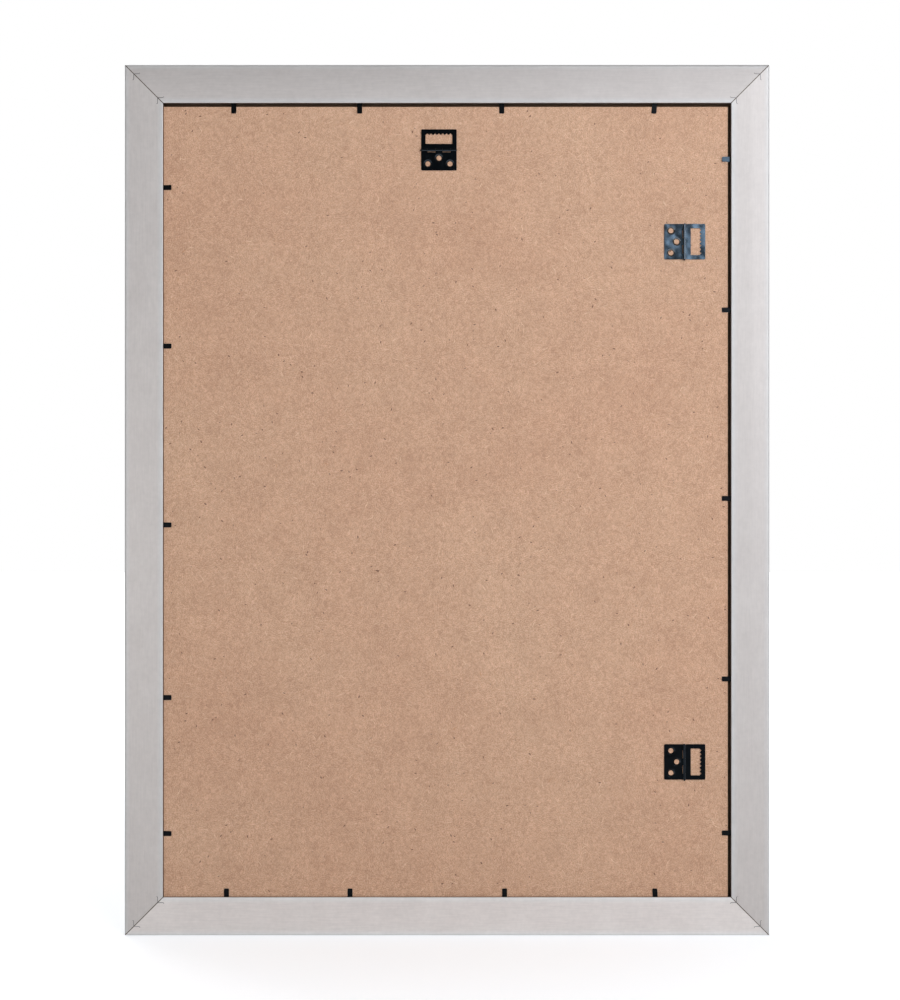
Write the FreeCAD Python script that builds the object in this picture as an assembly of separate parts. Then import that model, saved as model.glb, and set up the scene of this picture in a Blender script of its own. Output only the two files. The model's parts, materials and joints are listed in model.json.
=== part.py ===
import FreeCAD
import Part
import math
import os

# Picture frame for a 500 x 700 mm sheet, upright as it hangs: the picture faces -Y and the backing faces +Y.
# Sides and corners are named as they are seen from the back. The origin is at the middle of the frame.
# All lengths are in millimetres and all angles in degrees.

# Sheet that the frame takes, and the layers that lie behind the lip
SHEET_WIDTH = 500.0
SHEET_HEIGHT = 700.0
GLASS_THICKNESS = 2.0
INSERT_THICKNESS = 0.3
INSERT_TRIM = 0.5
BOARD_THICKNESS = 3.0

# Play of the layers in the rabbet: they stand on its lower wall and lie close to its left wall
RABBET_PLAY = 3.0
LEFT_GAP = 0.3

# Moulding, in section: widths run inward from the outer side, depths run from the back to the front
BACK_WIDTH = 34.0
LIP_REACH = 6.5
LIP_THICKNESS = 8.5
BOARD_RECESS = 3.2
RELIEF_WIDTH = 15.0
RELIEF_DEPTH = 0.6
BEVEL_WIDTH = 4.5
BEVEL_DEPTH = 4.0
RABBET_EDGE_RADIUS = 0.5
CREASE_RADIUS = 120.0
BACK_EDGE_RADIUS = 2.0
FRONT_EDGE_RADIUS = 1.5
BEVEL_TOP_RADIUS = 1.0
SIGHT_EDGE_RADIUS = 0.8

# Decorative foil round the moulding
FOIL_THICKNESS = 0.25
FOIL_TURN_IN = 1.2
FOIL_SETBACK = 0.48

# V-nails that draw the mitres together, two at each corner, driven in from the back: one is placed from the
# outer corner and one from the rabbet's corner
OUTER_NAIL_DISTANCE = 8.0
INNER_NAIL_INSET = 4.8
NAIL_LEG = 4.6
NAIL_THICKNESS = 0.5
NAIL_CURL_RADIUS = 0.8
NAIL_HEIGHT = 7.0
NAIL_SINK = 0.3

# Bendable points that hold the layers in: a shank in the moulding and a tongue over the board
POINT_WIDTH = 4.4
POINT_THICKNESS = 0.4
POINT_LENGTH = 16.0
POINT_TIP = 2.5
POINT_CORNER_RADIUS = 0.8
POINT_BOARD_GAP = 0.05
POINT_WALL_GAP = 0.04
TONGUE_LENGTH = {"top": 8.9, "right": 8.0, "bottom": 7.3, "left": 7.3}
# Where the points stand: distances from a side's first rabbet corner, then from its last, going clockwise
POINTS_FROM_FIRST = {
    "top": (62.5, 174.0),
    "right": (49.5, 183.0, 350.0),
    "bottom": (67.0, 200.5),
    "left": (56.0, 176.5, 329.5),
}
POINTS_FROM_LAST = {
    "top": (203.0, 67.5),
    "right": (193.0, 56.5),
    "bottom": (165.5, 56.0),
    "left": (215.0, 74.5),
}
# One point was left bent a little off the board, and two were driven in at a slant
LIFTED_POINT = "right_1"
LIFTED_ANGLE = 9.0
LEANING_POINTS = {"top_4": -5.0, "bottom_1": 4.0}

# Hinged sawtooth hangers
HANGER_EDGE_DISTANCE = 38.6
TOP_HANGER_SHIFT = 6.0
SIDE_HANGER_END_DISTANCE = 119.5
LEAF_WIDTH = 31.4
LEAF_THICKNESS = 0.6
LEAF_LIFT = 0.1
LEAF_CORNER_RADIUS = 1.0
PLATE_LENGTH = 17.8
SAWTOOTH_LENGTH = 18.6
PIN_RADIUS = 0.65
PIN_OVERHANG = 0.7
PIN_CHAMFER = 0.15
# How far each pin has crept along its bore
PIN_SHIFT = {"hanger_top": -0.4, "hanger_side_upper": 0.4, "hanger_side_lower": 0.3}
BORE_CLEARANCE = 0.03
CURL_END_ANGLE = 50.0
CENTRE_KNUCKLE = 6.0
MOVING_KNUCKLE = 7.1
KNUCKLE_GAP = 0.15
SLOT_GAP = 0.45
JOGGLE_LENGTH = 0.9
WINDOW_WIDTH = 23.8
WINDOW_NEAR = 5.7
WINDOW_FAR = 15.2
WINDOW_CORNER_RADIUS = 0.4
TOOTH_COUNT = 6
TOOTH_HEIGHT = 1.6
TOOTH_TIP_RADIUS = 0.15
VALLEY_RADIUS = 0.4
HOLE_RADIUS = 2.15
HOLE_SPREAD = 9.8
OUTER_HOLE_DISTANCE = 11.8
MIDDLE_HOLE_DISTANCE = 6.7
DIMPLE_RADIUS = 3.7
FUNNEL_THROAT = 0.1
FUNNEL_DEPTH = 0.6
COLLAR_WALL = 0.2
COLLAR_DEPTH = 2.0
SHOULDER_WIDTH = 0.35
SHOULDER_DEPTH = 1.0

# Sizes that follow from the ones above
DEPTH = LIP_THICKNESS + GLASS_THICKNESS + INSERT_THICKNESS + BOARD_THICKNESS + BOARD_RECESS
OUTER_WIDTH = SHEET_WIDTH + RABBET_PLAY + 2 * BACK_WIDTH
OUTER_HEIGHT = SHEET_HEIGHT + RABBET_PLAY + 2 * BACK_WIDTH
FRONT_Y = -DEPTH / 2
BACK_Y = DEPTH / 2
LIP_BACK_Y = FRONT_Y + LIP_THICKNESS
INSERT_Y = LIP_BACK_Y + GLASS_THICKNESS
BOARD_FRONT_Y = INSERT_Y + INSERT_THICKNESS
BOARD_BACK_Y = BOARD_FRONT_Y + BOARD_THICKNESS
SIGHT_WIDTH = BACK_WIDTH + LIP_REACH
NAIL_DISTANCES = (OUTER_NAIL_DISTANCE, BACK_WIDTH - INNER_NAIL_INSET)
SHEET_RIGHT_X = OUTER_WIDTH / 2 - BACK_WIDTH - LEFT_GAP
SHEET_LEFT_X = SHEET_RIGHT_X - SHEET_WIDTH
SHEET_BOTTOM_Z = BACK_WIDTH - OUTER_HEIGHT / 2
SHEET_TOP_Z = SHEET_BOTTOM_Z + SHEET_HEIGHT
POINT_Y = BOARD_BACK_Y + POINT_BOARD_GAP + POINT_THICKNESS / 2
TONGUE_AXIS = BACK_WIDTH + POINT_WALL_GAP + POINT_THICKNESS / 2
BORE_RADIUS = PIN_RADIUS + BORE_CLEARANCE
KNUCKLE_RADIUS = BORE_RADIUS + LEAF_THICKNESS
PIN_HEIGHT = LEAF_LIFT + KNUCKLE_RADIUS
SLOT_DEPTH = KNUCKLE_RADIUS + SLOT_GAP
HOLE_PLACES = (
    (-HOLE_SPREAD, OUTER_HOLE_DISTANCE),
    (0, MIDDLE_HOLE_DISTANCE),
    (HOLE_SPREAD, OUTER_HOLE_DISTANCE),
)

X_AXIS = FreeCAD.Vector(1, 0, 0)
Y_AXIS = FreeCAD.Vector(0, 1, 0)
ORIGIN = FreeCAD.Vector(0, 0, 0)

# Each side is made lying along +X from its first corner, with +Z inward, then turned about +Y and moved.
# A row holds where the first corner goes, the turn, the length of the outer edge and the corner's name.
SIDES = {
    "top": (FreeCAD.Vector(OUTER_WIDTH / 2, 0, OUTER_HEIGHT / 2), 180.0, OUTER_WIDTH, "top_left"),
    "right": (FreeCAD.Vector(-OUTER_WIDTH / 2, 0, OUTER_HEIGHT / 2), 90.0, OUTER_HEIGHT, "top_right"),
    "bottom": (FreeCAD.Vector(-OUTER_WIDTH / 2, 0, -OUTER_HEIGHT / 2), 0.0, OUTER_WIDTH, "bottom_right"),
    "left": (FreeCAD.Vector(OUTER_WIDTH / 2, 0, -OUTER_HEIGHT / 2), -90.0, OUTER_HEIGHT, "bottom_left"),
}


def to_side(shape, side):
    """Moves a shape from a side's own frame to its place in the picture frame."""
    corner, turn, _, _ = SIDES[side]
    placed = shape.copy()
    placed.rotate(ORIGIN, Y_AXIS, turn)
    placed.translate(corner)
    return placed


def flat(x, z):
    """A point of an outline that lies in the plane of the picture."""
    return FreeCAD.Vector(x, 0, z)


def section(width, depth_y):
    """A point of the moulding's section, from its width inward and its height in Y."""
    return FreeCAD.Vector(0, depth_y, width)


def rounded_edges(points, radii):
    """The edges of an open chain of points, with an arc at each inner point that has a radius."""
    edges = []
    start = points[0]
    for before, corner, after, radius in zip(points, points[1:], points[2:], radii):
        if radius == 0:
            edges.append(Part.makeLine(start, corner))
            start = corner
            continue
        back = (before - corner).normalize()
        onward = (after - corner).normalize()
        half_angle = back.getAngle(onward) / 2
        middle = (back + onward).normalize()
        reach = radius / math.tan(half_angle)
        crown = corner + middle * (radius / math.sin(half_angle) - radius)
        end = corner + onward * reach
        edges.append(Part.makeLine(start, corner + back * reach))
        edges.append(Part.Arc(corner + back * reach, crown, end).toShape())
        start = end
    edges.append(Part.makeLine(start, points[-1]))
    return edges


def face_of(edges):
    """A flat face inside a closed set of edges."""
    return Part.Face(Part.Wire(Part.__sortEdges__(edges)))


def rounded_plate(points, radii, low_y, high_y):
    """A plate between two heights in Y, from an outline whose corners have the given radii."""
    middle = (points[-1] + points[0]) * 0.5
    edges = rounded_edges([middle, *points, middle], radii)
    solid = face_of(edges).extrude(Y_AXIS * (high_y - low_y))
    solid.translate(Y_AXIS * low_y)
    return solid


def plate(points, low_y, high_y):
    """A plate between two heights in Y, from an outline with sharp corners."""
    return rounded_plate(points, [0] * len(points), low_y, high_y)


def block(low, high):
    """A box between two corners, each given as x, y and z."""
    sizes = [b - a for a, b in zip(low, high)]
    return Part.makeBox(*sizes, FreeCAD.Vector(*low))


def inset_chain(points, distance):
    """An open chain of section points, moved inward by a distance."""
    inward = [(b - a).normalize().cross(X_AXIS) for a, b in zip(points, points[1:])]
    moved = [points[0] + inward[0] * distance]
    for point, before, after in zip(points[1:], inward, inward[1:]):
        moved.append(point + (before + after) * (distance / (1 + before.dot(after))))
    moved.append(points[-1] + inward[-1] * distance)
    return moved


def moulding_faces():
    """The section of the foil and of the core inside it.
    The foil runs from inside the rabbet, round the outer side, to the sight edge."""
    outer = [
        section(BACK_WIDTH, BACK_Y - FOIL_TURN_IN),
        section(BACK_WIDTH, BACK_Y),
        section(RELIEF_WIDTH, BACK_Y),
        section(0, BACK_Y - RELIEF_DEPTH),
        section(0, FRONT_Y),
        section(SIGHT_WIDTH - BEVEL_WIDTH, FRONT_Y),
        section(SIGHT_WIDTH, FRONT_Y + BEVEL_DEPTH),
        section(SIGHT_WIDTH, LIP_BACK_Y),
    ]
    radii = [
        RABBET_EDGE_RADIUS,
        CREASE_RADIUS,
        BACK_EDGE_RADIUS,
        FRONT_EDGE_RADIUS,
        BEVEL_TOP_RADIUS,
        SIGHT_EDGE_RADIUS,
    ]
    inner = inset_chain(outer, FOIL_THICKNESS)
    outer_edges = rounded_edges(outer, radii)
    inner_edges = rounded_edges(inner, [radius - FOIL_THICKNESS for radius in radii])
    ends = [Part.makeLine(outer[0], inner[0]), Part.makeLine(outer[-1], inner[-1])]
    rabbet_corner = section(BACK_WIDTH, LIP_BACK_Y)
    raw_edges = [
        Part.makeLine(inner[-1], rabbet_corner),
        Part.makeLine(rabbet_corner, outer[0]),
        ends[0],
    ]
    return face_of(outer_edges + inner_edges + ends), face_of(inner_edges + raw_edges)


def mitred(face, length, setback):
    """A section run along a side and mitred at both ends, short of the mitres by the setback."""
    bar = face.extrude(X_AXIS * length)
    wedge = plate(
        [
            flat(setback, 0),
            flat(length - setback, 0),
            flat(length - setback - SIGHT_WIDTH, SIGHT_WIDTH),
            flat(setback + SIGHT_WIDTH, SIGHT_WIDTH),
        ],
        FRONT_Y,
        BACK_Y,
    )
    return bar.common(wedge)


def back_height(width):
    """How high the moulding's back is at a distance from its outer side."""
    return BACK_Y - RELIEF_DEPTH * max(0.0, 1 - width / RELIEF_WIDTH)


def v_nail(distance, top_y):
    """A V-nail at a side's first corner, its point on the mitre and its curled legs along the two sides."""
    low_y = back_height(distance) - NAIL_SINK - NAIL_HEIGHT
    near = distance
    end = distance + NAIL_LEG
    thick = distance + NAIL_THICKNESS
    outline = [
        flat(near, near),
        flat(end, near),
        flat(end, thick),
        flat(thick, thick),
        flat(thick, end),
        flat(near, end),
    ]
    legs = plate(outline, low_y, top_y)
    for x, z in ((end, near - NAIL_CURL_RADIUS), (near - NAIL_CURL_RADIUS, end)):
        centre = FreeCAD.Vector(x, low_y, z)
        ring = Part.makeCylinder(NAIL_CURL_RADIUS + NAIL_THICKNESS, top_y - low_y, centre, Y_AXIS)
        ring = ring.cut(Part.makeCylinder(NAIL_CURL_RADIUS, top_y - low_y, centre, Y_AXIS))
        reach = NAIL_CURL_RADIUS + NAIL_THICKNESS
        legs = legs.fuse(ring.common(block((x, low_y, z), (x + reach, top_y, z + reach))))
    return legs.removeSplitter()


def corner_nails(side):
    """The two V-nails at a side's first corner."""
    return [to_side(v_nail(d, back_height(d) - NAIL_SINK), side) for d in NAIL_DISTANCES]


def nail_slots(side):
    """What the V-nails of a corner open in the moulding: they go in below its back."""
    return [to_side(v_nail(d, BACK_Y), side) for d in NAIL_DISTANCES]


def point_places(side):
    """How far along a side each of its points stands, from the side's first corner."""
    length = SIDES[side][2]
    from_first = [BACK_WIDTH + d for d in POINTS_FROM_FIRST[side]]
    from_last = [length - BACK_WIDTH - d for d in POINTS_FROM_LAST[side]]
    return from_first + from_last


def leaning_outline(along, lean, corners):
    """An outline about a point's middle line, which leans about the place where the tongue bends."""
    slope = math.tan(math.radians(lean))
    return [flat(along + x + (z - TONGUE_AXIS) * slope, z) for x, z in corners]


def point_shank(side, along, lean):
    """The part of a point that is driven into the moulding, with its sharpened end."""
    half = POINT_WIDTH / 2
    tip = BACK_WIDTH - (POINT_LENGTH - TONGUE_LENGTH[side])
    shoulder = tip + POINT_TIP
    corners = [(-half, BACK_WIDTH), (half, BACK_WIDTH), (half, shoulder), (0, tip), (-half, shoulder)]
    outline = leaning_outline(along, lean, corners)
    shank = plate(outline, POINT_Y - POINT_THICKNESS / 2, POINT_Y + POINT_THICKNESS / 2)
    return to_side(shank, side)


def point_tongue(side, along, lift, lean):
    """The part of a point that bends: it is round at the wall, where it turns, and lies over the board."""
    half = POINT_WIDTH / 2
    end = BACK_WIDTH + TONGUE_LENGTH[side]
    corners = [(-half, TONGUE_AXIS), (half, TONGUE_AXIS), (half, end), (-half, end)]
    outline = leaning_outline(along, lean, corners)
    radii = [0, 0, POINT_CORNER_RADIUS, POINT_CORNER_RADIUS]
    low_y = POINT_Y - POINT_THICKNESS / 2
    blade = rounded_plate(outline, radii, low_y, low_y + POINT_THICKNESS)
    start = FreeCAD.Vector(along - half, POINT_Y, TONGUE_AXIS)
    bend = Part.makeCylinder(POINT_THICKNESS / 2, POINT_WIDTH, start, X_AXIS)
    tongue = blade.fuse(bend).removeSplitter()
    tongue.rotate(start, X_AXIS, -lift)
    return to_side(tongue, side)


def knuckle_section(length, direction, joggle):
    """A leaf's section across the pin: a flat leaf that curls round the pin, seen with the board at height 0.
    The leaf runs to +Z or -Z. A joggle sets the leaf down on the board beyond the knuckle."""
    low = PIN_HEIGHT - KNUCKLE_RADIUS
    top = PIN_HEIGHT - BORE_RADIUS
    drop = LEAF_LIFT if joggle else 0
    bend_start = SLOT_DEPTH
    bend_end = SLOT_DEPTH + JOGGLE_LENGTH

    def at(z, y):
        return FreeCAD.Vector(0, y, direction * z)

    def on_ring(radius, angle):
        turned = math.radians(angle)
        return at(radius * math.cos(turned), PIN_HEIGHT + radius * math.sin(turned))

    edges = []
    for radius in (KNUCKLE_RADIUS, BORE_RADIUS):
        for first, middle, last in ((-90, -135, -180), (-180, -250, -360 + CURL_END_ANGLE)):
            arc = Part.Arc(on_ring(radius, first), on_ring(radius, middle), on_ring(radius, last))
            edges.append(arc.toShape())
    curl_end = [on_ring(radius, CURL_END_ANGLE) for radius in (KNUCKLE_RADIUS, BORE_RADIUS)]
    edges.append(Part.makeLine(*curl_end))
    bottom = [at(0, low), at(bend_start, low), at(bend_end, low - drop), at(length, low - drop)]
    upper = [at(0, top), at(bend_start, top), at(bend_end, top - drop), at(length, top - drop)]
    for line in (bottom, upper):
        edges += [Part.makeLine(a, b) for a, b in zip(line, line[1:])]
    edges.append(Part.makeLine(bottom[-1], upper[-1]))
    return face_of(edges)


def leaf_blank(length, direction, joggle):
    """A leaf over its whole width, with rounded free corners and a knuckle that is not yet divided."""
    blank = knuckle_section(length, direction, joggle).extrude(X_AXIS * LEAF_WIDTH)
    blank.translate(X_AXIS * (-LEAF_WIDTH / 2))
    half = LEAF_WIDTH / 2
    behind = -direction * 2 * KNUCKLE_RADIUS
    outline = [
        flat(-half, behind),
        flat(half, behind),
        flat(half, direction * length),
        flat(-half, direction * length),
    ]
    radii = [0, 0, LEAF_CORNER_RADIUS, LEAF_CORNER_RADIUS]
    return blank.common(rounded_plate(outline, radii, 0, PIN_HEIGHT + KNUCKLE_RADIUS))


def knuckle_cut(low_x, high_x, direction, depth):
    """The room that a leaf leaves for a knuckle of the other leaf, to a depth from the pin."""
    ends = sorted((-direction * 2 * KNUCKLE_RADIUS, direction * depth))
    return block((low_x, -LEAF_LIFT, ends[0]), (high_x, PIN_HEIGHT + 2 * KNUCKLE_RADIUS, ends[1]))


def turned_ring(place, points):
    """A ring turned about a hole's axis, from the radii and heights of its section's corners."""
    x, z = place
    corners = [FreeCAD.Vector(x + r, y, z) for r, y in points]
    edges = [Part.makeLine(a, b) for a, b in zip(corners, corners[1:] + corners[:1])]
    return face_of(edges).revolve(FreeCAD.Vector(x, 0, z), Y_AXIS, 360)


def hanger_funnel(place):
    """A drawn hole: the leaf dips into the board round a plug of it, and its collar bites deeper."""
    points = [
        (DIMPLE_RADIUS, LEAF_THICKNESS),
        (HOLE_RADIUS + FUNNEL_THROAT, -FUNNEL_DEPTH),
        (HOLE_RADIUS, -COLLAR_DEPTH),
        (HOLE_RADIUS + COLLAR_WALL, -COLLAR_DEPTH),
        (HOLE_RADIUS + SHOULDER_WIDTH, -SHOULDER_DEPTH),
        (DIMPLE_RADIUS, 0),
    ]
    return turned_ring(place, points)


def plug_groove(place):
    """The open ring between a plug of the board and the funnel round it."""
    throat = HOLE_RADIUS + FUNNEL_THROAT
    share = FUNNEL_DEPTH / (FUNNEL_DEPTH + LEAF_THICKNESS)
    mouth = throat + (DIMPLE_RADIUS - throat) * share
    points = [(HOLE_RADIUS, 0), (HOLE_RADIUS, -FUNNEL_DEPTH), (throat, -FUNNEL_DEPTH), (mouth, 0)]
    return turned_ring(place, points)


def hanger_plate():
    """The leaf that is fixed to the board. It runs towards the middle of the frame."""
    leaf = leaf_blank(PLATE_LENGTH, 1, True)
    inner = CENTRE_KNUCKLE / 2
    outer = inner + MOVING_KNUCKLE + 2 * KNUCKLE_GAP
    for low_x, high_x in ((-outer, -inner), (inner, outer)):
        leaf = leaf.cut(knuckle_cut(low_x, high_x, 1, SLOT_DEPTH))
    for x, z in HOLE_PLACES:
        leaf = leaf.cut(Part.makeCylinder(DIMPLE_RADIUS, PIN_HEIGHT, FreeCAD.Vector(x, 0, z), Y_AXIS))
        leaf = leaf.fuse(hanger_funnel((x, z)))
    return leaf


def sawtooth_window():
    """The opening that a nail goes through, with teeth and the valleys between them on its far side."""
    pitch = WINDOW_WIDTH / (TOOTH_COUNT + 1)
    left = -WINDOW_WIDTH / 2
    right = WINDOW_WIDTH / 2
    tip_z = -(WINDOW_FAR - TOOTH_HEIGHT)
    points = [flat(right, -WINDOW_NEAR), flat(left, -WINDOW_NEAR), flat(left, tip_z)]
    radii = [WINDOW_CORNER_RADIUS, WINDOW_CORNER_RADIUS, WINDOW_CORNER_RADIUS]
    for tooth in range(1, TOOTH_COUNT + 1):
        tip_x = left + tooth * pitch
        points += [flat(tip_x - pitch / 2, -WINDOW_FAR), flat(tip_x, tip_z)]
        radii += [VALLEY_RADIUS, TOOTH_TIP_RADIUS]
    points += [flat(right - pitch / 2, -WINDOW_FAR), flat(right, tip_z)]
    radii += [VALLEY_RADIUS, WINDOW_CORNER_RADIUS]
    return rounded_plate(points, radii, 0, PIN_HEIGHT)


def hanger_sawtooth():
    """The leaf that swings on the pin and hooks over a nail. At rest it lies flat, towards the rail."""
    leaf = leaf_blank(SAWTOOTH_LENGTH, -1, False)
    middle = CENTRE_KNUCKLE / 2 + KNUCKLE_GAP
    inner = middle + MOVING_KNUCKLE
    outer = LEAF_WIDTH / 2
    for low_x, high_x in ((-outer, -inner), (-middle, middle), (inner, outer)):
        leaf = leaf.cut(knuckle_cut(low_x, high_x, -1, KNUCKLE_RADIUS + KNUCKLE_GAP))
    return leaf.cut(sawtooth_window())


def hanger_pin(shift):
    """The hinge pin, a little longer than the leaves are wide."""
    length = LEAF_WIDTH + 2 * PIN_OVERHANG
    start = FreeCAD.Vector(-length / 2 + shift, PIN_HEIGHT, 0)
    pin = Part.makeCylinder(PIN_RADIUS, length, start, X_AXIS)
    rims = [e for e in pin.Edges if isinstance(e.Curve, Part.Circle)]
    return pin.makeChamfer(PIN_CHAMFER, rims)


def hanger_places():
    """Each hanger's name, with its side, its distance along it and how far its pin is from the outer edge."""
    middle = OUTER_WIDTH / 2 - (SHEET_LEFT_X + SHEET_RIGHT_X) / 2
    board_top = OUTER_HEIGHT / 2 - SHEET_TOP_Z
    board_end = OUTER_HEIGHT / 2 - SHEET_BOTTOM_Z
    top_pin = board_top + HANGER_EDGE_DISTANCE
    side_pin = SHEET_LEFT_X + OUTER_WIDTH / 2 + HANGER_EDGE_DISTANCE
    return {
        "hanger_top": ("top", middle - TOP_HANGER_SHIFT, top_pin),
        "hanger_side_upper": ("right", board_top + SIDE_HANGER_END_DISTANCE, side_pin),
        "hanger_side_lower": ("right", board_end - SIDE_HANGER_END_DISTANCE, side_pin),
    }


def to_hanger(shape, name):
    """Moves a piece of a hanger from the hanger's own frame to its place on the board."""
    side, along, pin_distance = hanger_places()[name]
    placed = shape.copy()
    placed.translate(FreeCAD.Vector(along, BOARD_BACK_Y, pin_distance))
    return to_side(placed, side)


def sheet(front_y, thickness, trim):
    """A layer that stands in the rabbet. Trim makes it smaller than the sheet size on three sides."""
    low = (SHEET_LEFT_X + trim, front_y, SHEET_BOTTOM_Z)
    high = (SHEET_RIGHT_X - trim, front_y + thickness, SHEET_TOP_Z - trim)
    return block(low, high)


def build_points(nodes):
    """Adds the points, and returns the shanks that the moulding has to make room for."""
    shanks = []
    for side in SIDES:
        driven = []
        for number, along in enumerate(point_places(side), 1):
            name = f"{side}_{number}"
            lift = LIFTED_ANGLE if name == LIFTED_POINT else 0
            lean = LEANING_POINTS.get(name, 0)
            driven.append(point_shank(side, along, lean))
            nodes[f"point_{name}"] = point_tongue(side, along, lift, lean)
        nodes[f"point_shanks_{side}"] = Part.makeCompound(driven)
        shanks += driven
    return shanks


def build_moulding(nodes, shanks):
    """Adds the four sides, each a core in its foil, and the V-nails that join them."""
    foil_face, core_face = moulding_faces()
    slots = []
    for side, (_, _, _, corner) in SIDES.items():
        nodes[f"v_nails_{corner}"] = Part.makeCompound(corner_nails(side))
        slots += nail_slots(side)
    for side, (_, _, length, _) in SIDES.items():
        core = to_side(mitred(core_face, length, 0), side)
        foil = to_side(mitred(foil_face, length, FOIL_SETBACK), side)
        nodes[f"rail_{side}"] = core.cut(slots + shanks)
        nodes[f"foil_{side}"] = foil.cut(slots)


def build_hangers(nodes):
    """Adds the hangers, and returns what they take out of the board."""
    plate_leaf = hanger_plate()
    taken = [plate_leaf, *(plug_groove(place) for place in HOLE_PLACES)]
    sawtooth_leaf = hanger_sawtooth()
    for name in hanger_places():
        nodes[f"{name}_plate"] = to_hanger(plate_leaf, name)
        nodes[f"{name}_sawtooth"] = to_hanger(sawtooth_leaf, name)
        nodes[f"{name}_pin"] = to_hanger(hanger_pin(PIN_SHIFT[name]), name)
    return [to_hanger(shape, name) for name in hanger_places() for shape in taken]


def build():
    """All the pieces by node name."""
    nodes = {}
    shanks = build_points(nodes)
    build_moulding(nodes, shanks)
    hanger_cuts = build_hangers(nodes)
    nodes["glazing"] = sheet(LIP_BACK_Y, GLASS_THICKNESS, 0)
    nodes["insert_sheet"] = sheet(INSERT_Y, INSERT_THICKNESS, INSERT_TRIM)
    nodes["backing_board"] = sheet(BOARD_FRONT_Y, BOARD_THICKNESS, 0).cut(hanger_cuts)
    return nodes


def main():
    os.makedirs("parts", exist_ok=True)
    nodes = build()
    for name, shape in nodes.items():
        solids = shape.Solids
        valid = all(s.isValid() and s.isClosed() and s.Volume > 0 for s in solids)
        print(f"{name}: {len(solids)} solids, {shape.Volume:.1f} mm3, valid {valid}")
        shape.exportStep(f"parts/{name}.step")
    print(f"{len(nodes)} nodes, {OUTER_WIDTH} x {DEPTH} x {OUTER_HEIGHT}")


main()
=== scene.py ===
import json
import math

import bmesh
import bpy
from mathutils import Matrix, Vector

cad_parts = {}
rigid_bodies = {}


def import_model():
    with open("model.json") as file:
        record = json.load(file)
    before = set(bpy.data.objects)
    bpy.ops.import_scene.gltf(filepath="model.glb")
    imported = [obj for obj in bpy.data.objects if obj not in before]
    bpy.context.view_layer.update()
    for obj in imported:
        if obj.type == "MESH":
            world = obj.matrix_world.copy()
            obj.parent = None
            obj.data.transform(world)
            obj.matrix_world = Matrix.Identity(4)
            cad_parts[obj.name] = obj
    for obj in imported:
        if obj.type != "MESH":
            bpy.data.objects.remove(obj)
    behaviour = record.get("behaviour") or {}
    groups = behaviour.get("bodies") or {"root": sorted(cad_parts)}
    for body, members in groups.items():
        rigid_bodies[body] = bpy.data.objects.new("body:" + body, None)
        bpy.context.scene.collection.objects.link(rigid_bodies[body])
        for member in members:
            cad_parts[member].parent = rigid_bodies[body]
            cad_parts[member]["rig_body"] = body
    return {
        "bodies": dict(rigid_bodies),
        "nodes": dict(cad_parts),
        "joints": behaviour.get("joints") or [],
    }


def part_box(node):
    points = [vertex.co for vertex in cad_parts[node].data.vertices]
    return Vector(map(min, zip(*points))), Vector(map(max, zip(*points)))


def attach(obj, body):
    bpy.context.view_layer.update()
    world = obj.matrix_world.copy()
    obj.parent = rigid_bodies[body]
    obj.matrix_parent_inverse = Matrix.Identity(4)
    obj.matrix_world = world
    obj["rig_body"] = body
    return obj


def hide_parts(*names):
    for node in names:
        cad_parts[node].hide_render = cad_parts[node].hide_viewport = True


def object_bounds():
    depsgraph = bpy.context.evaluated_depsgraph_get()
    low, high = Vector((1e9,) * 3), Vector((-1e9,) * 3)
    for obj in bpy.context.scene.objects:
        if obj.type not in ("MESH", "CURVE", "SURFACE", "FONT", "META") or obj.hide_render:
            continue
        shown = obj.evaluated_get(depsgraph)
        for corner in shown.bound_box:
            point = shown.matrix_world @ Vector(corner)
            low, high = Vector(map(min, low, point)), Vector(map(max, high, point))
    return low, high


# Wall picture frame, seen from its back, with the finish of each piece.
# The picture faces -Y, the backing faces +Y and +Z is up. Lengths are in metres, each written as so many MM.
MM = 0.001

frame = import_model()
nodes = frame["nodes"]
cad_low, cad_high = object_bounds()
board_low, board_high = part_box("backing_board")
glass_low, glass_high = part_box("glazing")
middle = (cad_low + cad_high) / 2

# Each side of the moulding, with the axis that it runs along, the painted light and shade on its foil at the
# inner and the outer edge, and by how much that painted light rises from the middle of the side to the axis'
# high end
# Painted light and shade: each side brighter or darker, and graded across and along it, as the light falls on
# it
FOIL = {
    "top": (0, 0.96, 0.83, 0.10),
    "right": (2, 0.95, 0.91, 0.0),
    "bottom": (0, 1.24, 1.28, -0.02),
    "left": (2, 1.01, 0.99, 0.06),
}
# Width of the moulding's back face, and of the band along each of its edges where the foil is painted paler
# and cooler,
# by so much in red, green and blue: a painted highlight.
BACK_WIDTH = 34.0 * MM
EDGE_HIGHLIGHT_BAND = 5.5 * MM
EDGE_HIGHLIGHT_TONE = (1.045, 1.11, 1.15)
CORNERS = ("top_left", "top_right", "bottom_right", "bottom_left")
# The point that was left a little raised. Its face is painted paler and bluer than the other points: a
# painted reflection of the light it catches.
RAISED_POINT = "point_right_1"
# Each hanger, with the darkest and the palest colour of its bluing, and the colour where the bluing is rubbed
# thin. The
# hangers are alike: the upper side hanger is painted paler and bluer, its rubbed colour too, as a painted
# reflection of the light it mirrors, and the lower side hanger darkest, as painted shade.
HANGERS = {
    "hanger_top": ("12161A", "1E252B", "3C4146"),
    "hanger_side_upper": ("1E2830", "5A6B7A", "6C7074"),
    "hanger_side_lower": ("06080A", "0E1216", "30353A"),
}
ROOT = next(body for body in frame["bodies"] if body not in {joint["child"] for joint in frame["joints"]})

# Edges of sheet steel after tumbling, and the arris that is ground on the glass
STEEL_EDGE = 0.06 * MM
NAIL_EDGE = 0.05 * MM
GLASS_ARRIS = 0.5 * MM
GLASS_CLEARANCE = 0.02 * MM
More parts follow.
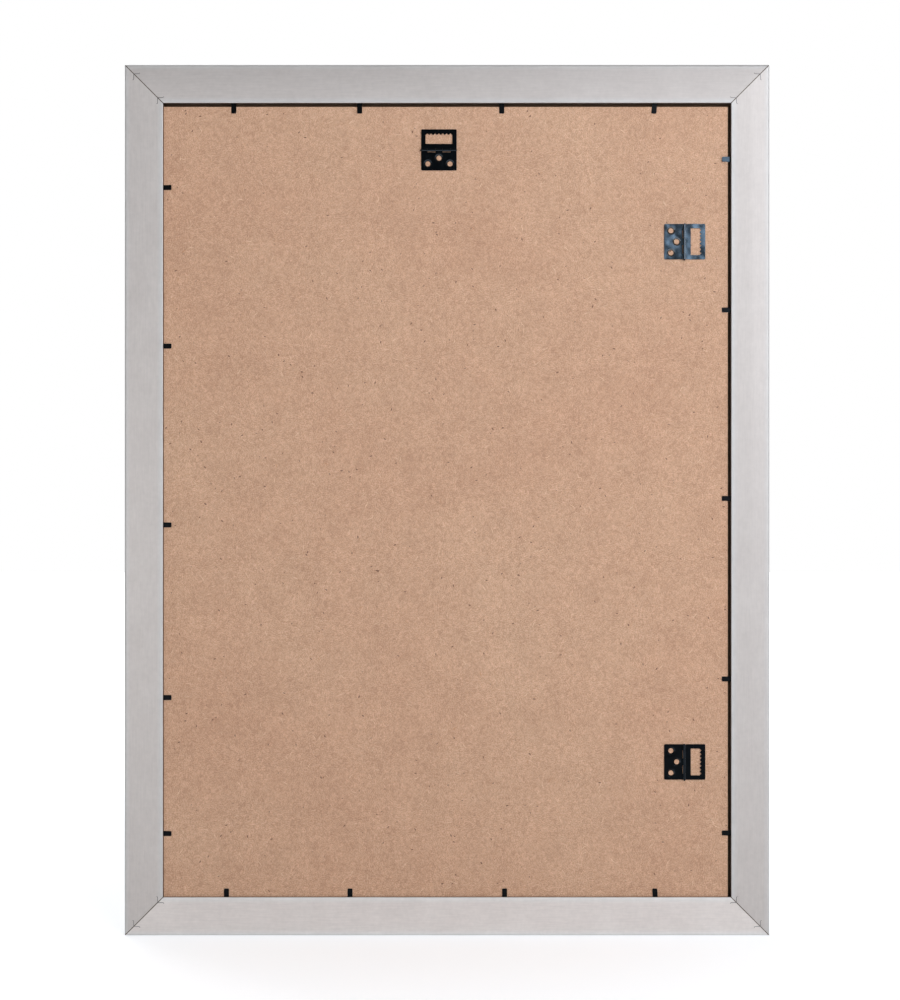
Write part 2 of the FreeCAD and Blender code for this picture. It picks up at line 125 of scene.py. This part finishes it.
# An edge sharper than this is eased, and faces that meet flatter than this are one face
SHARP_ANGLE = math.radians(32)
FLAT_ANGLE = math.radians(0.4)
WELD_DISTANCE = 0.002 * MM

# The foil's patterns: the values of the noise between which nearly all of it lies
NOISE_LOW, NOISE_HIGH = 0.3, 0.7

# The floor's half width, and the glow that hides its horizon: from one distance to another it goes from one
# strength to another, and it has a strength of its own where a smooth piece mirrors it
FLOOR_REACH = 8.0
GLOW_NEAR, GLOW_FAR = 0.3, 2.2
NEAR_GLOW, FAR_GLOW, MIRRORED_GLOW = 0.45, 1.0, 0.36
# The room's light on the picture's side and on the backing's side, and the band of directions between them,
# as the Y of the direction
FRONT_ROOM, BACK_ROOM = 0.68, 0.16
FRONT_ENDS, BACK_STARTS = -0.25, 0.1

# Camera: how much of the frame's back the view's height covers, from how far away, and the view's middle
VIEW_HEIGHT = 884.6 * MM
VIEW_DISTANCE = 1600 * MM
VIEW_CENTRE = Vector((-2.6 * MM, 0, 0.1 * MM))
SENSOR = 36.0


def linear(hex_colour):
    """The linear colour that an sRGB hex value stands for."""
    channels = [int(hex_colour[i : i + 2], 16) / 255 for i in (0, 2, 4)]
    return [*(c / 12.92 if c <= 0.04045 else ((c + 0.055) / 1.055) ** 2.4 for c in channels), 1.0]


def add(tree, kind, inputs=None, **settings):
    """Adds a node to a tree with its settings. Each input gets a value, or an output that it is linked to.
    A colour Mix node has its factor at input 0 and its two colours at 6 and 7."""
    node = tree.nodes.new(kind)
    for name, value in settings.items():
        setattr(node, name, value)
    for key, value in (inputs or {}).items():
        if isinstance(value, bpy.types.NodeSocket):
            tree.links.new(value, node.inputs[key])
        else:
            node.inputs[key].default_value = value
    return node


def new_material(name):
    """A material with an empty node tree, and its output node."""
    material = bpy.data.materials.new(name)
    material.use_nodes = True
    tree = material.node_tree
    tree.nodes.clear()
    return material, tree, add(tree, "ShaderNodeOutputMaterial")


def dress(node, material):
    """Gives a CAD node its finish."""
    nodes[node].data.materials.clear()
    nodes[node].data.materials.append(material)


def tinted(tree, colour, share, low, high):
    """A colour times a tint, which runs with a share of 0 to 1 from a low to a high red, green and blue."""
    tint = add(tree, "ShaderNodeMix", {0: share, 6: [*low, 1.0], 7: [*high, 1.0]}, data_type="RGBA")
    product = {0: 1.0, 6: colour, 7: tint.outputs[2]}
    return add(tree, "ShaderNodeMix", product, data_type="RGBA", blend_type="MULTIPLY").outputs[2]


def silver_foil(name, along, inner_painted_light, outer_painted_light, painted_light_rise):
    """Aluminised plastic foil, laminated on the moulding: satin and warm silver grey. It was drawn over the
    moulding lengthwise, which leaves fine streaks along each side, and it lies a little uneven on the core.
    The light and shade that fall on each side are painted into the foil's colour: each side is painted
    brighter or darker, graded over its width and length, and paler and cooler along its edges, a painted
    highlight."""
    material, tree, output = new_material(name)
    place = add(tree, "ShaderNodeTexCoord").outputs["Object"]
    # Streaks are some 0.3 mm wide and are drawn 1.4 mm wide, so that they show
    streak_width, streak_length = 1.4 * MM, 18 * MM
    blotch, grain_size = 28 * MM, 3.5 * MM
    streak_swing, grain_swing = 0.035, 0.025
    stretch = [1 / streak_width] * 3
    stretch[along] = 1 / streak_length
    drawn = add(tree, "ShaderNodeMapping", {"Vector": place, "Scale": stretch})
    streaks = add(tree, "ShaderNodeTexNoise", {"Vector": drawn.outputs[0], "Scale": 1.0, "Detail": 3.0})
    clouds = add(tree, "ShaderNodeTexNoise", {"Vector": place, "Scale": 1 / blotch, "Detail": 4.0})
    grain = add(tree, "ShaderNodeTexNoise", {"Vector": place, "Scale": 1 / grain_size, "Detail": 3.0})
    wear_and_sheen = add(
        tree,
        "ShaderNodeMix",
        {0: clouds.outputs["Fac"], 6: linear("C9C1BC"), 7: linear("D4CDC8")},
        data_type="RGBA",
    )
    across = 2 - along
    outer = cad_high[across]
    distance = add(tree, "ShaderNodeSeparateXYZ", {0: place}).outputs
    reach = add(tree, "ShaderNodeMath", {0: distance[across]}, operation="ABSOLUTE").outputs[0]
    half = BACK_WIDTH / 2
    from_middle = add(tree, "ShaderNodeMath", {0: reach, 1: outer - half}, operation="SUBTRACT").outputs[0]
    to_edge = add(tree, "ShaderNodeMath", {0: from_middle}, operation="ABSOLUTE").outputs[0]
    streak, speck = streaks.outputs["Fac"], grain.outputs["Fac"]
    colour = wear_and_sheen.outputs[2]
    # Streaks and grain are the foil's own. The rest is painted light and shade: the tone from the inner to
    # the outer edge, its rise along the side, and a painted highlight along the edges
    for source, start, end, low, high in (
        (streak, NOISE_LOW, NOISE_HIGH, [1 - streak_swing] * 3, [1 + streak_swing] * 3),
        (speck, NOISE_LOW, NOISE_HIGH, [1 - grain_swing] * 3, [1 + grain_swing] * 3),
        (reach, outer - BACK_WIDTH, outer, [inner_painted_light] * 3, [outer_painted_light] * 3),
        (distance[along], cad_low[along], cad_high[along], [1 - painted_light_rise] * 3, [1 + painted_light_rise] * 3),
        (to_edge, half - EDGE_HIGHLIGHT_BAND, half, [1.0] * 3, EDGE_HIGHLIGHT_TONE),
    ):
        share = add(tree, "ShaderNodeMapRange", {"Value": source, "From Min": start, "From Max": end})
        colour = tinted(tree, colour, share.outputs[0], low, high)
    rough = add(
        tree,
        "ShaderNodeMapRange",
        {"Value": streak, "From Min": NOISE_LOW, "From Max": NOISE_HIGH, "To Min": 0.36, "To Max": 0.44},
    )
    relief = add(tree, "ShaderNodeBump", {"Strength": 0.3, "Distance": 0.02 * MM, "Height": streak})
    skin = add(
        tree,
        "ShaderNodeBsdfPrincipled",
        {
            "Base Color": colour,
            "Metallic": 0.22,
            "Roughness": rough.outputs[0],
            "Normal": relief.outputs[0],
        },
    )
    tree.links.new(skin.outputs[0], output.inputs["Surface"])
    return material


def hardboard():
    """Thin fibreboard, pressed and sanded: matt light brown, mottled by resin, with a felt of fine fibres."""
    material, tree, output = new_material("hardboard")
    place = add(tree, "ShaderNodeTexCoord").outputs["Object"]
    # Resin mottle as wide as a hand and as a thumb, and fibres 0.2 mm thick that are drawn coarser to show
    hand, thumb, felt, grit = 160 * MM, 26 * MM, 3.2 * MM, 0.9 * MM
    pattern_low, pattern_high = 0.32, 0.68
    cloud = add(tree, "ShaderNodeTexNoise", {"Vector": place, "Scale": 1 / hand, "Detail": 3.0})
    patch = add(tree, "ShaderNodeTexNoise", {"Vector": place, "Scale": 1 / thumb, "Detail": 5.0})
    fibre = add(
        tree, "ShaderNodeTexNoise", {"Vector": place, "Scale": 1 / felt, "Detail": 4.0, "Distortion": 1.2}
    )
    grain = add(tree, "ShaderNodeTexNoise", {"Vector": place, "Scale": 1 / grit, "Detail": 2.0})
    colour = add(
        tree,
        "ShaderNodeMix",
        {0: cloud.outputs["Fac"], 6: linear("C8997B"), 7: linear("D3AC8D")},
        data_type="RGBA",
    ).outputs[2]
    # How far each pattern takes red, green and blue down and up: a pale fibre is also greyer than a dark one
    for source, swing in (
        (patch, (0.038, 0.04, 0.042)),
        (fibre, (0.122, 0.158, 0.178)),
        (grain, (0.16, 0.26, 0.36)),
    ):
        spot = add(
            tree,
            "ShaderNodeMapRange",
            {"Value": source.outputs["Fac"], "From Min": pattern_low, "From Max": pattern_high},
        )
        colour = tinted(tree, colour, spot.outputs[0], [1 - s for s in swing], [1 + s for s in swing])
    felted = fibre.outputs["Fac"]
    relief = add(tree, "ShaderNodeBump", {"Strength": 0.4, "Distance": 0.05 * MM, "Height": felted})
    skin = add(
        tree,
        "ShaderNodeBsdfPrincipled",
        {
            "Base Color": colour,
            "Roughness": 0.72,
            "Specular IOR Level": 0.5,
            "Normal": relief.outputs[0],
        },
    )
    tree.links.new(skin.outputs[0], output.inputs["Surface"])
    return material


def fibre_bundle(name, hex_colour):
    """Fibre bundles in the face of the board: barely refined wood, matt and uneven where resin soaked in."""
    material, tree, output = new_material(name)
    place = add(tree, "ShaderNodeTexCoord").outputs["Object"]
    drift, lightest = 14 * MM, 1.5
    noise = add(tree, "ShaderNodeTexNoise", {"Vector": place, "Scale": 1 / drift, "Detail": 2.0})
    light = [channel * lightest for channel in linear(hex_colour)[:3]] + [1.0]
    colour = add(
        tree, "ShaderNodeMix", {0: noise.outputs["Fac"], 6: linear(hex_colour), 7: light}, data_type="RGBA"
    )
    skin = add(tree, "ShaderNodeBsdfPrincipled", {"Base Color": colour.outputs[2], "Roughness": 0.85})
    tree.links.new(skin.outputs[0], output.inputs["Surface"])
    return material


def moulding_core():
    """Raw medium-density fibreboard, milled: dark brown, dull, with the cutter's fine fuzz."""
    material, tree, output = new_material("moulding_core")
    place = add(tree, "ShaderNodeTexCoord").outputs["Object"]
    fuzz = 2.4 * MM
    noise = add(tree, "ShaderNodeTexNoise", {"Vector": place, "Scale": 1 / fuzz, "Detail": 5.0})
    colour = add(
        tree,
        "ShaderNodeMix",
        {0: noise.outputs["Fac"], 6: linear("3A2A1C"), 7: linear("5A4530")},
        data_type="RGBA",
    )
    torn = noise.outputs["Fac"]
    relief = add(tree, "ShaderNodeBump", {"Strength": 0.6, "Distance": 0.08 * MM, "Height": torn})
    skin = add(
        tree,
        "ShaderNodeBsdfPrincipled",
        {"Base Color": colour.outputs[2], "Roughness": 0.9, "Normal": relief.outputs[0]},
    )
    tree.links.new(skin.outputs[0], output.inputs["Surface"])
    return material


def steel(name, dark, pale, roughness, metallic, cloud, wave=0.0, rubbed=None):
    """Thin strip steel with a chemical finish, whose tone and gloss drift from spot to spot. Stamped sheet
    isn't quite flat, which a wave gives, and its finish is rubbed thin where the press bent or dished it."""
    material, tree, output = new_material(name)
    coordinates = add(tree, "ShaderNodeTexCoord").outputs
    place = coordinates["Object"]
    # How upright a face is where the rubbing starts and where it is whole, as the cosine of its slope
    upright, sloped = 0.99, 0.94
    gloss_drift, wave_width = 0.06, 11 * MM
    noise = add(tree, "ShaderNodeTexNoise", {"Vector": place, "Scale": 1 / cloud, "Detail": 4.0})
    colour = add(
        tree,
        "ShaderNodeMix",
        {0: noise.outputs["Fac"], 6: linear(dark), 7: linear(pale)},
        data_type="RGBA",
    )
    if rubbed:
        facing = add(tree, "ShaderNodeSeparateXYZ", {0: coordinates["Normal"]}).outputs["Y"]
        flatness = add(tree, "ShaderNodeMath", {0: facing}, operation="ABSOLUTE").outputs[0]
        wear_and_sheen = add(tree, "ShaderNodeMapRange", {"Value": flatness, "From Min": upright, "From Max": sloped})
        colour = add(
            tree,
            "ShaderNodeMix",
            {0: wear_and_sheen.outputs[0], 6: colour.outputs[2], 7: linear(rubbed)},
            data_type="RGBA",
        )
    glossy_to_dull = {"To Min": roughness - gloss_drift, "To Max": roughness + gloss_drift}
    rough = add(tree, "ShaderNodeMapRange", {"Value": noise.outputs["Fac"], **glossy_to_dull})
    bend = add(tree, "ShaderNodeTexNoise", {"Vector": place, "Scale": 1 / wave_width, "Detail": 1.0})
    relief = add(tree, "ShaderNodeBump", {"Strength": 1.0, "Distance": wave, "Height": bend.outputs["Fac"]})
    skin = add(
        tree,
        "ShaderNodeBsdfPrincipled",
        {
            "Base Color": colour.outputs[2],
            "Metallic": metallic,
            "Roughness": rough.outputs[0],
            "Normal": relief.outputs[0],
        },
    )
    tree.links.new(skin.outputs[0], output.inputs["Surface"])
    return material


def float_glass():
    """Clear float glass: smooth and bright, and it lets the lamps through to the sheet behind it."""
    material, tree, output = new_material("float_glass")
    pane = add(
        tree,
        "ShaderNodeBsdfPrincipled",
        {"Base Color": linear("FFFFFF"), "Roughness": 0.0, "IOR": 1.52, "Transmission Weight": 1.0},
    )
    open_way = add(tree, "ShaderNodeBsdfTransparent", {"Color": linear("FFFFFF")})
    ray = add(tree, "ShaderNodeLightPath")
    both = add(
        tree,
        "ShaderNodeMixShader",
        {0: ray.outputs["Is Shadow Ray"], 1: pane.outputs[0], 2: open_way.outputs[0]},
    )
    tree.links.new(both.outputs[0], output.inputs["Surface"])
    return material


def paper():
    """Uncoated card, plain off-white, with the faint cloudiness of its pulp."""
    material, tree, output = new_material("uncoated_card")
    place = add(tree, "ShaderNodeTexCoord").outputs["Object"]
    pulp = 5 * MM
    noise = add(tree, "ShaderNodeTexNoise", {"Vector": place, "Scale": 1 / pulp, "Detail": 6.0})
    colour = add(
        tree,
        "ShaderNodeMix",
        {0: noise.outputs["Fac"], 6: linear("F2EFEA"), 7: linear("F8F6F2")},
        data_type="RGBA",
    )
    skin = add(tree, "ShaderNodeBsdfPrincipled", {"Base Color": colour.outputs[2], "Roughness": 0.9})
    tree.links.new(skin.outputs[0], output.inputs["Surface"])
    return material


def floor_paint():
    """White matt floor. It glows a little, more so far away, to run into the white room without a horizon,
    both as it is seen and as smooth pieces mirror it."""
    material, tree, output = new_material("floor_paint")
    place = add(tree, "ShaderNodeTexCoord").outputs["Object"]
    away = add(tree, "ShaderNodeVectorMath", {0: place}, operation="LENGTH").outputs["Value"]
    near = {"From Min": GLOW_NEAR, "To Min": NEAR_GLOW}
    far = {"From Max": GLOW_FAR, "To Max": FAR_GLOW}
    glow = add(tree, "ShaderNodeMapRange", {"Value": away, **near, **far})
    ray = add(tree, "ShaderNodeLightPath").outputs
    glossy = {0: ray["Is Glossy Ray"], 1: MIRRORED_GLOW}
    mirrored = add(tree, "ShaderNodeMath", glossy, operation="MULTIPLY")
    strength = add(
        tree,
        "ShaderNodeMix",
        {0: ray["Is Camera Ray"], 2: mirrored.outputs[0], 3: glow.outputs[0]},
        data_type="FLOAT",
    )
    skin = add(
        tree,
        "ShaderNodeBsdfPrincipled",
        {
            "Base Color": linear("E2E5E8"),
            "Roughness": 0.9,
            "Specular IOR Level": 0.0,
            "Emission Color": linear("FFFFFF"),
            "Emission Strength": strength.outputs[0],
        },
    )
    tree.links.new(skin.outputs[0], output.inputs["Surface"])
    return material


def new_piece(name, mesh, material, body):
    """Puts a finished mesh in the scene as a piece that moves with a body."""
    piece = bpy.data.objects.new(name, mesh)
    bpy.context.scene.collection.objects.link(piece)
    if material:
        mesh.materials.clear()
        mesh.materials.append(material)
    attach(piece, body)
    return piece


def eased(name, mesh, width):
    """A mesh with its sharp edges rounded over a width, and smooth where it curves."""
    mesh.shade_smooth()
    holder = bpy.data.objects.new(name, mesh)
    bpy.context.scene.collection.objects.link(holder)
    bevel = holder.modifiers.new("eased_edges", "BEVEL")
    bevel.width = width
    bevel.segments = 2
    bevel.limit_method = "ANGLE"
    bevel.angle_limit = SHARP_ANGLE
    bevel.harden_normals = True
    finished = bpy.data.meshes.new_from_object(holder.evaluated_get(bpy.context.evaluated_depsgraph_get()))
    bpy.data.objects.remove(holder)
    finished.name = name
    return finished


def welded(node):
    """A copy of a CAD node's mesh, its loose triangles joined and its flat faces made whole."""
    build = bmesh.new()
    build.from_mesh(nodes[node].data)
    bmesh.ops.remove_doubles(build, verts=build.verts, dist=WELD_DISTANCE)
    bmesh.ops.dissolve_limit(build, angle_limit=FLAT_ANGLE, verts=build.verts, edges=build.edges)
    mesh = bpy.data.meshes.new(node)
    build.to_mesh(mesh)
    build.free()
    for extra in ("custom_normal", "sharp_face", "sharp_edge"):
        if extra in mesh.attributes:
            mesh.attributes.remove(mesh.attributes[extra])
    return mesh


def dress_steel(node, material, width):
    """Replaces a steel piece by one of the same form with eased edges."""
    body = nodes[node]["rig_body"]
    piece = new_piece(f"{node}_finished", eased(node, welded(node), width), material, body)
    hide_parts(node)


def bundle_tree():
    """Lays tapered, slightly bowed fibre bundles over a face, half sunk in it and turned at random."""
    tree = bpy.data.node_groups.new("fibre_bundles", "GeometryNodeTree")
    face = tree.interface.new_socket("Face", in_out="INPUT", socket_type="NodeSocketGeometry")
    for name, kind in (
        ("Length", "NodeSocketFloat"),
        ("Width", "NodeSocketFloat"),
        ("Height", "NodeSocketFloat"),
        ("Bow", "NodeSocketFloat"),
        ("Least Size", "NodeSocketFloat"),
        ("Per Square Metre", "NodeSocketFloat"),
        ("Seed", "NodeSocketInt"),
        ("Finish", "NodeSocketMaterial"),
    ):
        tree.interface.new_socket(name, in_out="INPUT", socket_type=kind)
    tree.interface.new_socket("Bundles", in_out="OUTPUT", socket_type="NodeSocketGeometry")
    given = add(tree, "NodeGroupInput").outputs
    half = add(tree, "ShaderNodeMath", {0: given["Length"], 1: 0.5}, operation="MULTIPLY").outputs[0]
    back = add(tree, "ShaderNodeMath", {0: half, 1: -1.0}, operation="MULTIPLY").outputs[0]
    line = add(
        tree,
        "GeometryNodeCurveQuadraticBezier",
        {
            "Resolution": 5,
            "Start": add(tree, "ShaderNodeCombineXYZ", {"X": back}).outputs[0],
            "Middle": add(tree, "ShaderNodeCombineXYZ", {"Z": given["Bow"]}).outputs[0],
            "End": add(tree, "ShaderNodeCombineXYZ", {"X": half}).outputs[0],
        },
    )
    along = add(tree, "GeometryNodeSplineParameter").outputs["Factor"]
    from_middle = add(tree, "ShaderNodeMath", {0: along, 1: 0.5}, operation="SUBTRACT").outputs[0]
    squared = {0: from_middle, 1: from_middle}
    thinning = add(tree, "ShaderNodeMath", squared, operation="MULTIPLY").outputs[0]
    ends = {"From Max": 0.25, "To Min": 1.0, "To Max": 0.2}
    taper = add(tree, "ShaderNodeMapRange", {"Value": thinning, **ends})
    hexagon = {"Resolution": 6, "Radius": 0.5}
    section = add(tree, "GeometryNodeCurvePrimitiveCircle", hexagon, mode="RADIUS").outputs["Curve"]
    girth = add(tree, "ShaderNodeMath", {0: taper.outputs[0], 1: given["Width"]}, operation="MULTIPLY")
    bundle = add(
        tree,
        "GeometryNodeCurveToMesh",
        {"Curve": line.outputs[0], "Profile Curve": section, "Scale": girth.outputs[0], "Fill Caps": True},
    )
    shape = {0: given["Height"], 1: given["Width"]}
    flatness = add(tree, "ShaderNodeMath", shape, operation="DIVIDE").outputs[0]
    pressed = add(
        tree,
        "GeometryNodeTransform",
        {
            "Geometry": bundle.outputs[0],
            "Scale": add(tree, "ShaderNodeCombineXYZ", {"X": 1.0, "Y": flatness, "Z": 1.0}).outputs[0],
        },
    )
    spots = add(
        tree,
        "GeometryNodeDistributePointsOnFaces",
        {"Mesh": given["Face"], "Density": given["Per Square Metre"], "Seed": given["Seed"]},
    )
    turn = add(
        tree,
        "FunctionNodeRandomValue",
        {0: (0, 0, 0), 1: (0, 2 * math.pi, 0), "Seed": given["Seed"]},
        data_type="FLOAT_VECTOR",
    )
    size = add(
        tree,
        "FunctionNodeRandomValue",
        {2: given["Least Size"], 3: 1.0, "Seed": given["Seed"]},
        data_type="FLOAT",
    )
    laid = add(
        tree,
        "GeometryNodeInstanceOnPoints",
        {
            "Points": spots.outputs["Points"],
            "Instance": pressed.outputs[0],
            "Rotation": turn.outputs[0],
            "Scale": size.outputs[1],
        },
    )
    real = add(tree, "GeometryNodeRealizeInstances", {"Geometry": laid.outputs[0]})
    finish = {"Geometry": real.outputs[0], "Material": given["Finish"]}
    finished = add(tree, "GeometryNodeSetMaterial", finish)
    add(tree, "NodeGroupOutput", {"Bundles": finished.outputs[0]})
    return tree


def lay_bundles(name, tree, values):
    """One kind of fibre bundle over the back of the board, as a plain mesh."""
    margin = values["Length"] / 2
    y = board_high.y
    corners = [
        (board_low.x + margin, y, board_low.z + margin),
        (board_low.x + margin, y, board_high.z - margin),
        (board_high.x - margin, y, board_high.z - margin),
        (board_high.x - margin, y, board_low.z + margin),
    ]
    face = bpy.data.meshes.new(name)
    face.from_pydata(corners, [], [(0, 1, 2, 3)])
    holder = bpy.data.objects.new(name, face)
    bpy.context.scene.collection.objects.link(holder)
    modifier = holder.modifiers.new("bundles", "NODES")
    modifier.node_group = tree
    for socket in tree.interface.items_tree:
        if socket.in_out == "INPUT" and socket.name in values:
            modifier[socket.identifier] = values[socket.name]
    mesh = bpy.data.meshes.new_from_object(holder.evaluated_get(bpy.context.evaluated_depsgraph_get()))
    bpy.data.objects.remove(holder)
    mesh.name = name
    new_piece(name, mesh, None, ROOT)


def dress_board():
    """The board's own face, and the bundles that show in it: dark bark, brown slivers and pale fibres."""
    dress("backing_board", hardboard())
    tree = bundle_tree()
    sliver = {"Length": 5.0, "Width": 0.7, "Height": 0.06, "Bow": 0.4}
    bark = {"Length": 2.6, "Width": 1.2, "Height": 0.06, "Bow": 0.25}
    straw = {"Length": 6.0, "Width": 0.5, "Height": 0.06, "Bow": 1.1}
    for name, sizes, least, density, seed, colour in (
        ("bark_specks", bark, 0.2, 2200.0, 11, "6A4836"),
        ("brown_slivers", sliver, 0.4, 90.0, 5, "AE7B54"),
        ("straw_fibres", straw, 0.25, 3200.0, 23, "D8BC9E"),
    ):
        values = {key: size * MM for key, size in sizes.items()}
        values.update({"Least Size": least, "Per Square Metre": density, "Seed": seed})
        values["Finish"] = fibre_bundle(name, colour)
        lay_bundles(name, tree, values)


def dress_moulding():
    """Foil with its streaks along each side, over the raw core."""
    core = moulding_core()
    for side, (along, inner_painted_light, outer_painted_light, painted_light_rise) in FOIL.items():
        dress(f"rail_{side}", core)
        dress(f"foil_{side}", silver_foil(f"silver_foil_{side}", along, inner_painted_light, outer_painted_light, painted_light_rise))


def dress_fittings():
    """Points, V-nails and hangers, all of thin steel."""
    black = steel("black_oxide_strip", "0B0C0E", "15181B", 0.36, 0.92, 3 * MM)
    # A paler, glossier copy of the black strip for the raised point: a painted reflection
    wear_and_sheen = steel("oxide_strip_painted_sheen", "242B32", "3C4954", 0.25, 0.95, 2 * MM)
    wire = steel("blued_wire", "0C0D0F", "15181B", 0.3, 0.9, 4 * MM)
    bright = steel("bare_nail_steel", "5A5754", "8C8A88", 0.38, 1.0, 2 * MM)
    for node in nodes:
        if node.startswith("point_shanks"):
            dress(node, black)
        elif node.startswith("point"):
            dress_steel(node, wear_and_sheen if node == RAISED_POINT else black, STEEL_EDGE)
    for corner in CORNERS:
        dress_steel(f"v_nails_{corner}", bright, NAIL_EDGE)
    for hanger, (dark, pale, rubbed) in HANGERS.items():
        blued = steel(f"blued_sheet_steel_{hanger}", dark, pale, 0.2, 0.95, 5 * MM, 0.6 * MM, rubbed)
        dress_steel(f"{hanger}_plate", blued, STEEL_EDGE)
        dress_steel(f"{hanger}_sawtooth", blued, STEEL_EDGE)
        dress_steel(f"{hanger}_pin", wire, STEEL_EDGE)


def dress_picture():
    """The plain sheet, and the glass in front of it with its ground arris, a hair off the sheet."""
    dress("insert_sheet", paper())
    low = glass_low + Vector((GLASS_CLEARANCE, GLASS_CLEARANCE, GLASS_CLEARANCE))
    size = glass_high - glass_low - Vector((2, 2, 2)) * GLASS_CLEARANCE
    build = bmesh.new()
    bmesh.ops.create_cube(build, size=1.0)
    bmesh.ops.scale(build, vec=size, verts=build.verts)
    bmesh.ops.translate(build, vec=low + size / 2, verts=build.verts)
    mesh = bpy.data.meshes.new("glass_pane")
    build.to_mesh(mesh)
    build.free()
    piece = new_piece("glass_pane", eased("glass_pane", mesh, GLASS_ARRIS), float_glass(), ROOT)
    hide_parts("glazing")


def make_floor():
    """The floor that the frame stands on."""
    ways = ((-1, -1), (1, -1), (1, 1), (-1, 1))
    corners = [(x * FLOOR_REACH, y * FLOOR_REACH, cad_low.z) for x, y in ways]
    mesh = bpy.data.meshes.new("floor")
    mesh.from_pydata(corners, [], [(0, 1, 2, 3)])
    mesh.materials.append(floor_paint())
    floor = bpy.data.objects.new("floor", mesh)
    bpy.context.scene.collection.objects.link(floor)


def aim(thing, place, target):
    """Puts a lamp or a camera at a place and turns it to a target."""
    thing.location = place
    thing.rotation_euler = (Vector(target) - Vector(place)).to_track_quat("-Z", "Y").to_euler()


def softbox(name, place, size, radiance, hex_colour="FFFFFF"):
    """A square softbox that faces the frame. Its radiance is that of its cloth, where 1 is pure white."""
    lamp = bpy.data.lights.new(name, "AREA")
    lamp.shape = "SQUARE"
    lamp.size = size
    lamp.energy = radiance * math.pi * size * size
    lamp.color = linear(hex_colour)[:3]
    holder = bpy.data.objects.new(name, lamp)
    bpy.context.scene.collection.objects.link(holder)
    aim(holder, place, middle)


def make_light():
    """A large soft key from the upper right of the back, a small fill from its left, and a front light, in a
    white room that lights the picture's side more than the backing's."""
    softbox("key_softbox", (-1.28, 1.75, 0.85), 1.9, 3.7, "F4F8FF")
    softbox("left_fill", (0.9, 1.75, -0.05), 0.6, 2.4)
    softbox("front_softbox", (1.2, -1.9, 1.2), 1.5, 2.8)
    world = bpy.data.worlds.new("pale_studio")
    world.use_nodes = True
    tree = world.node_tree
    tree.nodes.clear()
    ray = add(tree, "ShaderNodeLightPath")
    way = add(tree, "ShaderNodeTexCoord").outputs["Generated"]
    towards_back = add(tree, "ShaderNodeSeparateXYZ", {0: way}).outputs["Y"]
    front = {"From Min": FRONT_ENDS, "To Min": FRONT_ROOM}
    back = {"From Max": BACK_STARTS, "To Max": BACK_ROOM}
    dimness = add(tree, "ShaderNodeMapRange", {"Value": towards_back, **front, **back})
    room = add(tree, "ShaderNodeBackground", {"Color": linear("FFFFFF"), "Strength": dimness.outputs[0]})
    seen = add(tree, "ShaderNodeBackground", {"Color": linear("FFFFFF"), "Strength": 1.0})
    seen_or_lit = {0: ray.outputs["Is Camera Ray"], 1: room.outputs[0], 2: seen.outputs[0]}
    both = add(tree, "ShaderNodeMixShader", seen_or_lit)
    add(tree, "ShaderNodeOutputWorld", {"Surface": both.outputs[0]})
    bpy.context.scene.world = world


def make_camera():
    """The photograph's view: straight on to the back."""
    lens = bpy.data.cameras.new("camera")
    lens.sensor_width = SENSOR
    lens.lens = SENSOR * VIEW_DISTANCE / VIEW_HEIGHT
    camera = bpy.data.objects.new("camera", lens)
    bpy.context.scene.collection.objects.link(camera)
    target = Vector((VIEW_CENTRE.x, cad_high.y, VIEW_CENTRE.z))
    aim(camera, target + Vector((0, VIEW_DISTANCE, 0)), target)
    bpy.context.scene.camera = camera


dress_moulding()
dress_board()
dress_fittings()
dress_picture()
make_floor()
make_light()
make_camera()
bpy.context.scene.view_settings.view_transform = "Standard"
